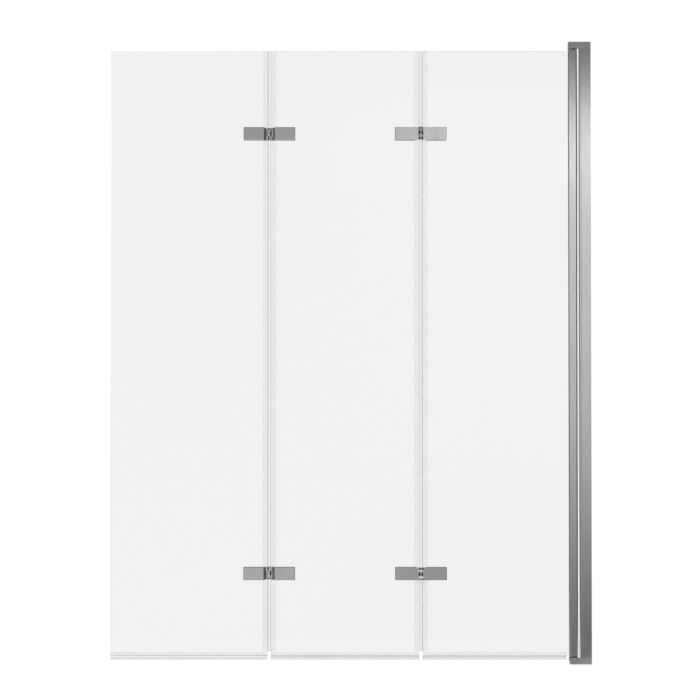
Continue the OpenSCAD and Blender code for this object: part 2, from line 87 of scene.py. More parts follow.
class Wire:
    """An output socket that shader arithmetic can be written with."""

    def __init__(self, bench: "Bench", socket: bpy.types.NodeSocket) -> None:
        """Keeps the socket and the bench that it is on."""
        self.bench = bench
        self.socket = socket

    def _math(self, operation: str, first: Value, second: Value = 0.0) -> "Wire":
        """Makes a Math node.

        Args:
            operation: Name of the operation.
            first: First operand.
            second: Second operand, where the operation has one.

        Returns:
            The result.
        """
        return self.bench.wire(
            "ShaderNodeMath", "Value", {0: first, 1: second}, operation=operation
        )

    def __add__(self, other: Value) -> "Wire":
        """Sum of the two."""
        return self._math("ADD", self, other)

    def __radd__(self, other: Value) -> "Wire":
        """Sum of the two."""
        return self._math("ADD", other, self)

    def __sub__(self, other: Value) -> "Wire":
        """This less the other."""
        return self._math("SUBTRACT", self, other)

    def __rsub__(self, other: Value) -> "Wire":
        """The other less this."""
        return self._math("SUBTRACT", other, self)

    def __mul__(self, other: Value) -> "Wire":
        """Product of the two."""
        return self._math("MULTIPLY", self, other)

    def __rmul__(self, other: Value) -> "Wire":
        """Product of the two."""
        return self._math("MULTIPLY", other, self)

    def __truediv__(self, other: Value) -> "Wire":
        """This over the other."""
        return self._math("DIVIDE", self, other)

    def __rtruediv__(self, other: Value) -> "Wire":
        """The other over this."""
        return self._math("DIVIDE", other, self)

    def __pow__(self, other: Value) -> "Wire":
        """This to the power of the other."""
        return self._math("POWER", self, other)

    def __rpow__(self, other: Value) -> "Wire":
        """The other to the power of this."""
        return self._math("POWER", other, self)

    def __neg__(self) -> "Wire":
        """The negative of this."""
        return self._math("MULTIPLY", self, -1.0)

    def __abs__(self) -> "Wire":
        """The size of this without its sign."""
        return self._math("ABSOLUTE", self)

    def step(self, low: float, high: float) -> "Wire":
        """Soft step.

        Args:
            low: Value at which the step starts.
            high: Value at which it ends, which may be the lower one.

        Returns:
            0 before low and 1 after high.
        """
        return self.bench.wire(
            "ShaderNodeMapRange",
            "Result",
            {"Value": self, "From Min": low, "From Max": high},
            interpolation_type="SMOOTHSTEP",
        )

    def ramp(self, stops: Sequence[Point]) -> "Wire":
        """Straight lines between stops.

        Args:
            stops: Values of this with the result at each, in rising order.

        Returns:
            The result.
        """
        first, last = stops[0][0], stops[-1][0]
        top = max(height for _, height in stops)
        node = self.bench.node("ShaderNodeValToRGB", {"Fac": (self - first) / (last - first)})
        elements = node.color_ramp.elements
        while len(elements) < len(stops):
            elements.new(0.5)
        for element, (place, height) in zip(elements, stops):
            element.position = (place - first) / (last - first)
            element.color = (height / top,) * 3 + (1.0,)
        return Wire(self.bench, node.outputs["Color"]) * top


class Bench:
    """The node tree of one finish or of the surroundings."""

    def __init__(self, tree: bpy.types.NodeTree) -> None:
        """Clears the tree."""
        self.tree = tree
        tree.nodes.clear()

    def node(
        self,
        kind: str,
        inputs: Mapping[Union[int, str], Value] | None = None,
        **settings: object,
    ) -> bpy.types.Node:
        """Makes any node.

        Args:
            kind: Type of the node.
            inputs: Wires and plain values by the name or number of their socket.
            **settings: The node's own properties.

        Returns:
            The node.
        """
        made = self.tree.nodes.new(kind)
        for name, setting in settings.items():
            setattr(made, name, setting)
        for key, value in (inputs or {}).items():
            if isinstance(value, Wire):
                self.tree.links.new(value.socket, made.inputs[key])
            else:
                made.inputs[key].default_value = value
        return made

    def wire(
        self,
        kind: str,
        output: Union[int, str],
        inputs: Mapping[Union[int, str], Value] | None = None,
        **settings: object,
    ) -> Wire:
        """Makes a node and takes one of its outputs.

        Args:
            kind: Type of the node.
            output: Name or number of the output.
            inputs: Wires and plain values by the name or number of their socket.
            **settings: The node's own properties.

        Returns:
            The output.
        """
        return Wire(self, self.node(kind, inputs, **settings).outputs[output])

    def place(self, scale: Sequence[float] = (1.0, 1.0, 1.0)) -> Wire:
        """Object coordinates, stretched.

        Args:
            scale: Factor along each axis.

        Returns:
            The coordinates.
        """
        point = self.wire("ShaderNodeTexCoord", "Object")
        return self.wire("ShaderNodeMapping", "Vector", {"Vector": point, "Scale": scale})

    def noise(
        self, scale: Sequence[float], detail: float = 2.0, distortion: float = 0.0
    ) -> Wire:
        """Noise on object coordinates.

        Args:
            scale: Number of cells per metre along each axis.
            detail: Number of finer layers.
            distortion: How much the cells are bent.

        Returns:
            Values round 0.5.
        """
        return self.wire(
            "ShaderNodeTexNoise",
            "Fac",
            {
                "Vector": self.place(scale),
                "Scale": 1.0,
                "Detail": detail,
                "Distortion": distortion,
            },
        )

    def bump(self, height: Wire, depth: float) -> Wire:
        """Bumped normal.

        Args:
            height: Height between 0 and 1.
            depth: Height of 1, in metres.

        Returns:
            The normal.
        """
        return self.wire(
            "ShaderNodeBump",
            "Normal",
            {"Height": height, "Distance": depth, "Strength": 1.0},
        )

    def blend(self, factor: Value, low: Sequence[float], high: Sequence[float]) -> Wire:
        """Colour between two.

        Args:
            factor: 0 for low and 1 for high.
            low: First colour.
            high: Second colour.

        Returns:
            The colour.
        """
        return self.wire(
            "ShaderNodeMix",
            2,
            {0: factor, 6: (*low, 1.0), 7: (*high, 1.0)},
            data_type="RGBA",
        )

    def skin(self, inputs: Mapping[Union[int, str], Value]) -> Wire:
        """Shader of a plain surface with the inputs given."""
        return self.wire("ShaderNodeBsdfPrincipled", "BSDF", inputs)

    def over(self, factor: Value, under: Wire, upper: Wire) -> Wire:
        """Mixes two shaders, with the upper one showing by the factor."""
        return self.wire("ShaderNodeMixShader", "Shader", {0: factor, 1: under, 2: upper})

    def facing(self) -> Wire:
        """0 where the surface is seen square on and 1 where it is seen along itself."""
        return self.wire("ShaderNodeLayerWeight", "Facing", {"Blend": 0.5})

    def rays(self) -> tuple[Wire, Wire]:
        """Kinds of ray that meet a surface.

        Returns:
            1 for rays of the camera, straight or through glass, and 1 for mirrored rays.
        """
        path = self.node("ShaderNodeLightPath")
        camera, transmission, glossy = (
            Wire(self, path.outputs[f"Is {way} Ray"])
            for way in ("Camera", "Transmission", "Glossy")
        )
        return camera + transmission, glossy


def new_finish(name: str, surface: Callable[[Bench], Wire]) -> bpy.types.Material:
    """Makes a material.

    Args:
        name: Name of the material.
        surface: Builds the surface shader on a bench.

    Returns:
        The material.
    """
    material = bpy.data.materials.new(name)
    material.use_nodes = True
    bench = Bench(material.node_tree)
    bench.node("ShaderNodeOutputMaterial", {"Surface": surface(bench)})
    return material


# ---- Finishes ----


class Grain(Enum):
    """How a surface was worked, as cells of its marks per metre along x, y and z."""

    DRAWN = (2200.0, 2200.0, 5.0)
    POLISHED = (900.0, 900.0, 900.0)
    LAPPED = (1500.0, 60.0, 1500.0)
    TURNED = (2600.0, 2600.0, 260.0)
    GROUND = (700.0, 90.0, 700.0)
    EXTRUDED_LENGTHWISE = (6.0, 900.0, 900.0)
    EXTRUDED_UPRIGHT = (900.0, 900.0, 6.0)


class Drift(Enum):
    """Slow unevenness of a surface, as its cells per metre along x, y and z."""

    PLATING_PATCHES = (35.0, 35.0, 9.0)
    PLATING_WAVES = (16.0, 16.0, 5.0)
    GLASS_WAVES = (3.0, 3.0, 7.0)
    GLASS_FILM = (22.0, 22.0, 13.0)
    VINYL_CLOUD = (30.0, 30.0, 30.0)
    MOULD_PATCHES = (60.0, 60.0, 60.0)
    FLOOR_SPECKLE = (260.0, 260.0, 260.0)


@dataclass(frozen=True)
class MetalFinish:
    """Bright metal with the fine marks of how it was worked.

    Attributes:
        name: Name of the material.
        tint: Colour of the metal.
        shade: Colour in the slightly duller patches.
        grain: How the surface was worked.
        roughness: Roughness of the best polished parts.
        spread: How much rougher the duller parts are.
        marks: Depth of the marks, in metres.
        wave: Depth of the slow unevenness of the plating, in metres.
    """

    name: str
    tint: Triple
    shade: Triple
    grain: Grain
    roughness: float
    spread: float
    marks: float
    wave: float

    def surface(self, bench: Bench) -> Wire:
        """Shader of the metal.

        Args:
            bench: The bench of the material.

        Returns:
            The shader.
        """
        marks = bench.noise(self.grain.value, detail=3.0)
        patches = bench.noise(Drift.PLATING_PATCHES.value, detail=4.0, distortion=0.6)
        uneven = bench.noise(Drift.PLATING_WAVES.value, detail=1.0)
        height = marks * self.marks + uneven * self.wave
        roughness = (
            self.roughness + patches.step(0.35, 0.75) * self.spread + marks * (0.4 * self.spread)
        )
        return bench.skin(
            {
                "Base Color": bench.blend(patches.step(0.3, 0.8), self.tint, self.shade),
                "Metallic": 1.0,
                "Roughness": roughness,
                "Normal": bench.bump(height, 1.0),
            }
        )


@dataclass(frozen=True)
class GlassFinish:
    """Clear toughened glass with polished edges.

    Attributes:
        name: Name of the material.
        clarity: Share of the light that each face lets through.
        mirror: Share that a face reflects when seen square on.
        glance: Share that it reflects when seen along itself.
        edge: Colour of the polished edges, seen end on.
        edge_body: How solid the edges look, seen end on.
        film: How much rougher the surface is under a film of water marks.
    """

    name: str
    clarity: float
    mirror: float
    glance: float
    edge: Triple
    edge_body: float
    film: float = 0.03

    def surface(self, bench: Bench) -> Wire:
        """Shader of the glass.

        Args:
            bench: The bench of the material.

        Returns:
            The shader.
        """
        facing = bench.facing()
        waves = bench.noise(Drift.GLASS_WAVES.value, detail=1.0)
        marks = bench.noise(Drift.GLASS_FILM.value, detail=5.0, distortion=0.8).step(0.45, 0.8)
        clear = bench.wire("ShaderNodeBsdfTransparent", "BSDF", {"Color": grey(self.clarity)})
        sheen = bench.skin(
            {
                "Base Color": (0.94, 0.95, 0.95, 1.0),
                "Metallic": 1.0,
                "Roughness": 0.012 + marks * self.film,
                "Normal": bench.bump(waves, 0.0004),
            }
        )
        face = bench.over(self.mirror + facing**5.0 * self.glance, clear, sheen)
        grinding = bench.noise(Grain.GROUND.value)
        ground = tuple(0.72 * part for part in self.edge)
        rim = bench.skin(
            {
                "Base Color": bench.blend(grinding, self.edge, ground),
                "Roughness": 0.10 + grinding * 0.12,
                "Normal": bench.bump(grinding, 0.00002),
            }
        )
        normal = bench.wire("ShaderNodeTexCoord", "Normal")
        across = abs(bench.wire("ShaderNodeSeparateXYZ", "Y", {0: normal}))
        end_on = (1.0 - facing).step(0.05, 0.9)
        past_bevels = across.step(0.65, 0.45)
        return bench.over(past_bevels * end_on * self.edge_body, face, rim)


@dataclass(frozen=True)
class VinylFinish:
    """Clear or slightly milky vinyl of a seal.

    Attributes:
        name: Name of the material.
        clarity: Share of the light that each face lets through.
        veil: How milky a face is, seen square on.
        glance: How much more solid it looks, seen along itself.
        body: Colour of the milkiness.
        grain: How the extrusion lines run.
    """

    name: str
    clarity: float
    veil: float
    glance: float
    body: Triple = (0.86, 0.875, 0.88)
    grain: Grain = Grain.EXTRUDED_UPRIGHT

    def surface(self, bench: Bench) -> Wire:
        """Shader of the vinyl.

        Args:
            bench: The bench of the material.

        Returns:
            The shader.
        """
        lines = bench.noise(self.grain.value)
        cloud = bench.noise(Drift.VINYL_CLOUD.value, detail=3.0, distortion=0.5)
        clear = bench.wire("ShaderNodeBsdfTransparent", "BSDF", {"Color": grey(self.clarity)})
        skin = bench.skin(
            {
                "Base Color": bench.blend(cloud, self.body, tuple(0.88 * c for c in self.body)),
                "Roughness": 0.16 + lines * 0.16,
                "IOR": 1.53,
                "Normal": bench.bump(lines, 0.00004),
            }
        )
        veil = self.veil * (0.7 + cloud * 0.6) + bench.facing() ** 3.0 * self.glance
        return bench.over(veil, clear, skin)


@dataclass(frozen=True)
class MouldedFinish:
    """Moulded plastic or rubber with a fine eroded grain.

    Attributes:
        name: Name of the material.
        tint: Colour.
        worn: Colour of the paler, rubbed parts.
        roughness: Roughness of the smoothest parts.
        grain: Cells of the grain per metre.
        depth: Depth of the grain, in metres.
    """

    name: str
    tint: Triple
    worn: Triple
    roughness: float
    grain: float
    depth: float

    def surface(self, bench: Bench) -> Wire:
        """Shader of the plastic.

        Args:
            bench: The bench of the material.

        Returns:
            The shader.
        """
        grain = bench.noise((self.grain,) * 3, detail=4.0)
        patches = bench.noise(Drift.MOULD_PATCHES.value, detail=3.0)
        return bench.skin(
            {
                "Base Color": bench.blend(patches.step(0.3, 0.75), self.tint, self.worn),
                "Roughness": self.roughness + grain * 0.2,
                "Normal": bench.bump(grain, self.depth),
            }
        )


def grey(level: float) -> tuple[float, float, float, float]:
    """Neutral colour of a level."""
    return (level, level, level, 1.0)


@dataclass(frozen=True)
class FinishBook:
    """Every finish on the screen, made once and shared."""

    drawn_chrome: bpy.types.Material
    plate_chrome: bpy.types.Material
    cap_chrome: bpy.types.Material
    channel: bpy.types.Material
    steel: bpy.types.Material
    glass: bpy.types.Material
    vinyl: bpy.types.Material
    vinyl_web: bpy.types.Material
    vinyl_line: bpy.types.Material
    vinyl_fin: bpy.types.Material
    vinyl_lip: bpy.types.Material
    bulb: bpy.types.Material
    rubber: bpy.types.Material
    nylon: bpy.types.Material

    @classmethod
    def make(cls) -> "FinishBook":
        """Makes every finish.

        Returns:
            The finishes.
        """
        chrome = {"tint": (0.60, 0.605, 0.61), "shade": (0.575, 0.58, 0.585), "marks": 4e-7}
        recipes = {
            "drawn_chrome": MetalFinish(
                "drawn_chrome", **chrome, grain=Grain.DRAWN,
                roughness=0.07, spread=0.03, wave=2e-6,
            ),
            "plate_chrome": MetalFinish(
                "plate_chrome", **chrome, grain=Grain.POLISHED,
                roughness=0.06, spread=0.04, wave=3e-6,
            ),
            "cap_chrome": MetalFinish(
                "cap_chrome", **chrome, grain=Grain.LAPPED,
                roughness=0.08, spread=0.05, wave=4e-6,
            ),
            "channel": MetalFinish(
                "anodised_channel", (0.46, 0.465, 0.47), (0.40, 0.405, 0.41), Grain.DRAWN,
                roughness=0.30, spread=0.10, marks=1.2e-6, wave=2e-6,
            ),
            "steel": MetalFinish(
                "screw_steel", (0.50, 0.50, 0.495), (0.42, 0.42, 0.415), Grain.TURNED,
                roughness=0.20, spread=0.10, marks=1.5e-6, wave=1e-6,
            ),
            "glass": GlassFinish(
                "clear_glass", clarity=0.9425, mirror=0.010, glance=0.75,
                edge=(0.30, 0.41, 0.385), edge_body=0.62,
            ),
            "vinyl": VinylFinish("clear_vinyl", clarity=0.989, veil=0.04, glance=0.42),
            "vinyl_web": VinylFinish(
                "vinyl_end_on", clarity=0.80, veil=0.10, glance=0.30, body=(0.60, 0.62, 0.63)
            ),
            "vinyl_line": VinylFinish(
                "vinyl_line", clarity=0.58, veil=0.16, glance=0.30, body=(0.45, 0.47, 0.48)
            ),
            "vinyl_fin": VinylFinish("soft_vinyl_fin", clarity=0.94, veil=0.07, glance=0.30),
            "vinyl_lip": VinylFinish(
                "soft_vinyl_lip", clarity=0.885, veil=0.12, glance=0.40,
                grain=Grain.EXTRUDED_LENGTHWISE,
            ),
            "bulb": VinylFinish(
                "soft_vinyl_bulb", clarity=0.998, veil=0.012, glance=0.40,
                body=(0.16, 0.165, 0.17),
            ),
            "rubber": MouldedFinish(
                "grey_rubber", tint=(0.19, 0.193, 0.197), worn=(0.23, 0.233, 0.237),
                roughness=0.45, grain=1400.0, depth=0.00003,
            ),
            # Dark nylon of the bushes, washers and sleeves: partly their own black, and partly
            # painted shade. It is darkened so that the bush under the pivot profile shows as the
            # shaded gap there.
            "nylon": MouldedFinish(
                "moulded_nylon", tint=(0.075, 0.077, 0.08), worn=(0.11, 0.112, 0.115),
                roughness=0.35, grain=1000.0, depth=0.00002,
            ),
        }
        return cls(
            **{key: new_finish(recipe.name, recipe.surface) for key, recipe in recipes.items()}
        )


# ---- Shapes ----


class Zone(Enum):
    """Zone of a seal, by the place of its finish in the piece."""

    LEG = 0
    WEB = 1
    SOFT = 2


def mirrored(points: Sequence[Point]) -> list[Point]:
    """The other half of a section, with its corners in turned order."""
    return [(-x, y) for x, y in reversed(points)]


class Blank:
    """A closed shape in millimetres that bmesh operators work on before it is placed."""

    def __init__(self) -> None:
        """Starts empty."""
        self.mesh = bmesh.new()

    def outline(self, points: Sequence[Point]) -> "Blank":
        """Draws a closed line in the xy plane.

        Args:
            points: Its corners in order.

        Returns:
            The blank.
        """
        corners = [self.mesh.verts.new((x, y, 0.0)) for x, y in points]
        for start, end in zip(corners, corners[1:] + corners[:1]):
            self.mesh.edges.new((start, end))
        return self

    def hole(self, x: float, y: float, radius: float, segments: int = 40) -> "Blank":
        """Draws a round hole in the xy plane.

        Args:
            x: Centre along x.
            y: Centre along y.
            radius: Radius of the hole.
            segments: Number of sides.

        Returns:
            The blank.
        """
        bmesh.ops.create_circle(
            self.mesh,
            cap_ends=False,
            segments=segments,
            radius=radius,
            matrix=Matrix.Translation((x, y, 0.0)),
        )
        return self

    def extrude(self, length: float, stations: int = 1) -> "Blank":
        """Fills what is drawn and draws it out along z.

        Args:
            length: Length along z.
            stations: Number of equal lengths that the sides are divided into.

        Returns:
            The blank.
        """
        bmesh.ops.triangle_fill(
            self.mesh, use_beauty=True, use_dissolve=False, edges=self.mesh.edges[:]
        )
        bmesh.ops.dissolve_limit(
            self.mesh,
            angle_limit=math.radians(1.0),
            verts=[],
            edges=[edge for edge in self.mesh.edges if len(edge.link_faces) == 2],
        )
        grown = bmesh.ops.extrude_face_region(self.mesh, geom=self.mesh.faces[:])
        moved = [item for item in grown["geom"] if isinstance(item, bmesh.types.BMVert)]
        bmesh.ops.translate(self.mesh, vec=(0.0, 0.0, length), verts=moved)
        for station in range(1, stations):
            self.cut((0.0, 0.0, length * station / stations), (0.0, 0.0, 1.0))
        bmesh.ops.recalc_face_normals(self.mesh, faces=self.mesh.faces[:])
        return self

    def round_off(self, radius: float, segments: int = 2, rims: bool = False) -> "Blank":
        """Rounds the edges that run along z, or those of the two flat ends.

        Args:
            radius: Width of the rounding.
            segments: Number of faces across it.
            rims: True for the flat ends.

        Returns:
            The blank.
        """
        self.mesh.normal_update()
        corner = math.radians(60.0 if rims else 20.0)
        corners = [
            edge
            for edge in self.mesh.edges
            if len(edge.link_faces) == 2
            and edge.calc_face_angle(0.0) > corner
            and (abs(edge.verts[0].co.z - edge.verts[1].co.z) < 1e-6) is rims
        ]
        bmesh.ops.bevel(
            self.mesh,
            geom=corners,
            offset=radius,
            offset_type="OFFSET",
            segments=segments,
            profile=0.5,
            affect="EDGES",
            material=-1,
            clamp_overlap=True,
        )
        return self

    def cut(self, place: Triple, across: Triple) -> "Blank":
        """Divides the faces along a plane.

        Args:
            place: A point of the plane.
            across: Its normal.

        Returns:
            The blank.
        """
        bmesh.ops.bisect_plane(
            self.mesh,
            geom=[*self.mesh.verts, *self.mesh.edges, *self.mesh.faces],
            plane_co=place,
            plane_no=across,
        )
        return self

    def shape(self, move: Callable[[Vector], Vector]) -> "Blank":
        """Moves every corner by a rule.

        Args:
            move: Gives the new place of a corner from its old one.

        Returns:
            The blank.
        """
        for corner in self.mesh.verts:
            corner.co = move(corner.co.copy())
        return self

    def paint(self, choose: Callable[[Vector, Vector], Zone]) -> "Blank":
        """Gives each face one of the piece's finishes.

        Args:
            choose: Gives the zone from a face's middle and its normal.

        Returns:
            The blank.
        """
        self.mesh.normal_update()
        for side in self.mesh.faces:
            side.material_index = choose(side.calc_center_median(), side.normal).value
        return self


class Piece:
    """A new object that is gathered from placed blanks and stands for CAD nodes."""

    def __init__(self, name: str, finishes: Sequence[bpy.types.Material]) -> None:
        """Starts empty.

        Args:
            name: Name of the piece.
            finishes: The finishes that its faces choose from.
        """
        self.name = name
        self.finishes = finishes
        self.gathered = bmesh.new()

    def add(self, blank: Blank, place: Matrix) -> None:
        """Places a blank in the shared frame.

        Args:
            blank: The shape in millimetres.
            place: Its place in metres.
        """
        mesh = blank.mesh
        bmesh.ops.transform(mesh, matrix=place @ Matrix.Scale(MM, 4), verts=mesh.verts[:])
        if place.determinant() < 0:
            bmesh.ops.reverse_faces(mesh, faces=mesh.faces[:])
        held = bpy.data.meshes.new("held")
        mesh.to_mesh(held)
        mesh.free()
        self.gathered.from_mesh(held)
        bpy.data.meshes.remove(held)

    def finish(self, body: str, slot: str, *nodes: str) -> None:
        """Makes the object and sets it on its body.

        Args:
            body: CAD body that it rides on.
            slot: Material slot of the record; not used.
            *nodes: CAD nodes that it stands for.
        """
        data = bpy.data.meshes.new(self.name)
        self.gathered.to_mesh(data)
        self.gathered.free()
        for material in self.finishes:
            data.materials.append(material)
        data.shade_smooth()
        data.set_sharp_from_angle(angle=math.radians(32.0))
        made = bpy.data.objects.new(self.name, data)
        bpy.context.scene.collection.objects.link(made)
        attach(made, body)
        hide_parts(*nodes)
        log.info("%s: %d faces for %s", self.name, len(data.polygons), ", ".join(nodes))


def dress(material: bpy.types.Material, *nodes: str, edge: float = 0.0) -> None:
    """Gives CAD nodes their finish.

    Args:
        material: The finish.
        *nodes: Names of the nodes.
        edge: Width in metres to which sharp edges are broken, or 0 for none.
    """
    for name in nodes:
        part = frame["nodes"][name]
        if not part.material_slots:
            part.data.materials.append(None)
        for held in part.material_slots:
            held.material = material
        if edge:
            weld = part.modifiers.new("weld", "WELD")
            weld.merge_threshold = 1e-6
            broken = part.modifiers.new("broken_edges", "BEVEL")
            broken.width = edge
            broken.segments = 2
            broken.limit_method = "ANGLE"
            broken.angle_limit = math.radians(40.0)
            broken.use_clamp_overlap = True
            broken.harden_normals = True
        log.info("%s: %s", name, material.name)


# ---- Sub-assemblies ----


class Fold(Enum):
    """A fold by its name and the sign of the face that its knuckles are on."""

    INNER = ("inner_fold", -1)
    OUTER = ("outer_fold", 1)

    @property
    def label(self) -> str:
        """Name of the fold, as its joint and its nodes have it."""
        return self.value[0]

    @property
    def knuckle_side(self) -> int:
        """-1 for the room's side of the glass and 1 for the bath's side."""
        return self.value[1]


class Side(Enum):
    """Side of a fold."""

    NEAR_WALL = 1
    FAR_FROM_WALL = -1


def axis_of(joint: str) -> Point:
    """Place of a joint's axis across and through the screen, in metres."""
    x, y, _ = next(row for row in frame["joints"] if row["name"] == joint)["pos_m"]
    return x, y


def at_fold(fold: Fold, side: Side, z: float) -> Matrix:
    """Place of a shape drawn in a fold's own frame.

    Args:
        fold: The fold.
        side: Side of the fold.
        z: Height in metres.

    Returns:
        The place. x runs away from the fold and y out of the face with the knuckles.
    """
    turn = Matrix.Diagonal((side.value, fold.knuckle_side, 1, 1))
    return Matrix.Translation((*axis_of(fold.label), z)) @ turn


@dataclass
class DripSeal:
    """Push-on seal along the foot of a pane, with a hanging lip and a deflector.

    Attributes:
        panel: Name of the panel.
        clear_band: Drops between which the lip is as clear as the web's ends, in millimetres.
        glass: Thickness of the glass.
        wall: Thickness of the legs and the web.
        leg: Height of the legs above the foot of the glass.
        lip: Drop of the hanging lip below the foot of the glass.
        fit: Gap between the legs and the glass.
        ripple: Sideways waviness of the soft lips.
        waves: Lengths along the pane in which the long and the short waves turn by a radian.
    """

    panel: str
    clear_band: Point = (0.0, 0.0)
    glass: float = 6.0
    wall: float = 1.0
    leg: float = 7.3
    lip: float = 10.0
    fit: float = 0.06
    ripple: float = 0.22
    waves: Point = (47.0, 19.0)

    def section(self) -> list[Point]:
        """Section across the pane.

        Returns:
            Its corners in millimetres, across the glass and up from its foot.
        """
        inner = self.glass / 2 + self.fit
        outer = self.glass / 2 + self.wall
        lip = [
            (0.3, -self.lip), (0.62, 0.5 - self.lip), (0.42, 1.3 - self.lip), (0.62, -2.6),
            (0.75, -self.wall),
        ]
        deflector = [
            (inner, -self.wall), (inner + 1.5, -4.0), (inner + 3.4, -6.3),
            (inner + 4.3, -6.0), (inner + 2.4, -3.2), (outer, -0.1),
        ]
        leg = [
            (outer, self.leg - 1.6), (outer - 0.25, self.leg - 0.5),
            (inner + 0.2, self.leg), (inner, self.leg - 0.5), (inner, 0.03),
        ]
        return [(-outer, -self.wall), *mirrored(lip), *lip, *deflector, *leg, *mirrored(leg)]

    def build(self, book: FinishBook, body: str) -> None:
        """Models the seal.

        Args:
            book: The finishes.
            body: CAD body that it rides on.
        """
        node = f"{self.panel}_bottom_seal"
        low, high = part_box(node)
        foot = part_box(f"{self.panel}_glass")[0].z
        length = (high.x - low.x) / MM
        long, short = self.waves

        def hang(point: Vector) -> Vector:
            """Lets the soft lips wander a little along the pane.

            Args:
                point: A corner of the seal.

            Returns:
                Its new place.
            """
            depth = max(0.0, -self.wall - point.y) / self.lip
            wave = math.sin(point.z / long) + 0.6 * math.sin(point.z / short + 1.3)
            return point + Vector((self.ripple * depth * depth * wave, 0.0, 0.0))

        def choose(middle: Vector, normal: Vector) -> Zone:
            """The lip is soft, and the ends of the web show its whole depth.

            Args:
                middle: Middle of a face.
                normal: Its normal.

            Returns:
                The zone of the face.
            """
            on_end = abs(middle.x) > (self.glass + self.wall) / 2 and abs(normal.z) < 0.5
            if on_end and -0.95 * self.wall < middle.y < 0.0:
                return Zone.WEB
            if middle.y > -self.wall or abs(middle.x) > self.wall:
                return Zone.LEG
            top, bottom = (-drop for drop in self.clear_band)
            return Zone.WEB if middle.y > top else Zone.LEG if middle.y > bottom else Zone.SOFT

        seal = Blank().outline(self.section()).extrude(length, stations=24)
        seal.round_off(0.16)
        for drop in sorted({0.0, *self.clear_band}):
            seal.cut((0.0, -drop, 0.0), (0.0, 1.0, 0.0))
        seal.paint(choose).shape(hang)
        piece = Piece(f"{self.panel}_drip_seal", (book.vinyl, book.vinyl_web, book.vinyl_lip))
        lay = Matrix(((0, 0, 1, low.x), (1, 0, 0, 0), (0, 1, 0, foot), (0, 0, 0, 1)))
        piece.add(seal, lay)
        piece.finish(body, "clear_vinyl", node)


@dataclass
class FoldSeal:
    """Push-on seal on the edge of a pane at a fold, in three lengths between the hinges.

    Attributes:
        node: CAD node that it stands for.
        fold: The fold.
        side: Side of the fold.
        fin: True where it has the soft fin that closes the gap.
        dense: True where the end of the web shows as a dark line.
        glass: Thickness of the glass, in millimetres.
        gap: Gap between the panes.
        wall: Thickness of the legs and the web.
        leg: Length of the legs over the glass.
        axis: Distance from the middle of the glass to the fold's axis.
        fit: Gap between the legs and the glass.
    """

    node: str
    fold: Fold
    side: Side
    fin: bool = False
    dense: bool = False
    glass: float = 6.0
    gap: float = 7.0
    wall: float = 1.0
    leg: float = 11.6
    axis: float = 9.5
    fit: float = 0.06

    def section(self) -> list[Point]:
        """Section in the fold's own frame.

        Returns:
            Its corners in millimetres, with the middle of the glass at y = 0.
        """
        edge = self.gap / 2
        web = edge - self.wall
        inner = self.glass / 2 + self.fit
        outer = self.glass / 2 + self.wall
        tip = edge + self.leg
        leg = [
            (tip - 1.8, -outer), (tip - 1.1, 0.15 - outer), (tip - 0.1, -inner - 0.25),
            (tip, -inner), (tip - 1.3, -inner), (edge - 0.03, -inner),
        ]
        legs = leg + [(x, -y) for x, y in reversed(leg)]
        fin = [
            (web, 0.1 - outer), (1.2, 0.45 - outer), (-0.4, 0.35 - outer),
            (-2.1, 0.1 - outer), (-2.2, 0.65 - outer), (-0.4, 1.0 - outer),
            (1.2, 1.15 - outer), (web, 1.1 - outer),
        ]
        return [(web, outer), *(reversed(fin) if self.fin else ()), (web, -outer), *legs]

    def build(self, book: FinishBook, body: str) -> None:
        """Models the seal.

        Args:
            book: The finishes.
            body: CAD body that it rides on.
        """
        edge = self.gap / 2
        web_face = self.glass / 2 + self.wall

        def choose(middle: Vector, normal: Vector) -> Zone:
            """The fin is soft, and the ends of the web show its whole depth.

            Args:
                middle: Middle of a face.
                normal: Its normal.

            Returns:
                The zone of the face.
            """
            if middle.x < edge - self.wall - 0.02:
                return Zone.SOFT
            on_end = abs(middle.y) > web_face - 0.3 and abs(normal.z) < 0.5
            return Zone.WEB if on_end and middle.x < edge else Zone.LEG

        piece = Piece(
            f"{self.node.removesuffix('_edge_seal')}_fold_seal",
            (book.vinyl, book.vinyl_line if self.dense else book.vinyl_web, book.vinyl_fin),
        )
        for low, high in self.spans():
            seal = Blank().outline(self.section()).extrude((high - low) / MM)
            seal.round_off(0.15).cut((edge, 0.0, 0.0), (1.0, 0.0, 0.0)).paint(choose)
            place = at_fold(self.fold, self.side, low)
            piece.add(seal, place @ Matrix.Translation((0.0, -self.axis * MM, 0.0)))
        piece.finish(body, "clear_vinyl", self.node)

    def spans(self) -> list[Point]:
        """Lengths of the seal below, between and above the hinges.

        Returns:
            Lower and upper end of each, in metres.
        """
        low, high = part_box(self.node)
        ends = [low.z]
        for level in LEVELS:
            foot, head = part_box(f"{level}_{self.fold.label}_pin_clamp")
            ends += [foot.z - 0.5 * MM, head.z + 0.5 * MM]
        ends.append(high.z)
        return list(zip(ends[::2], ends[1::2]))


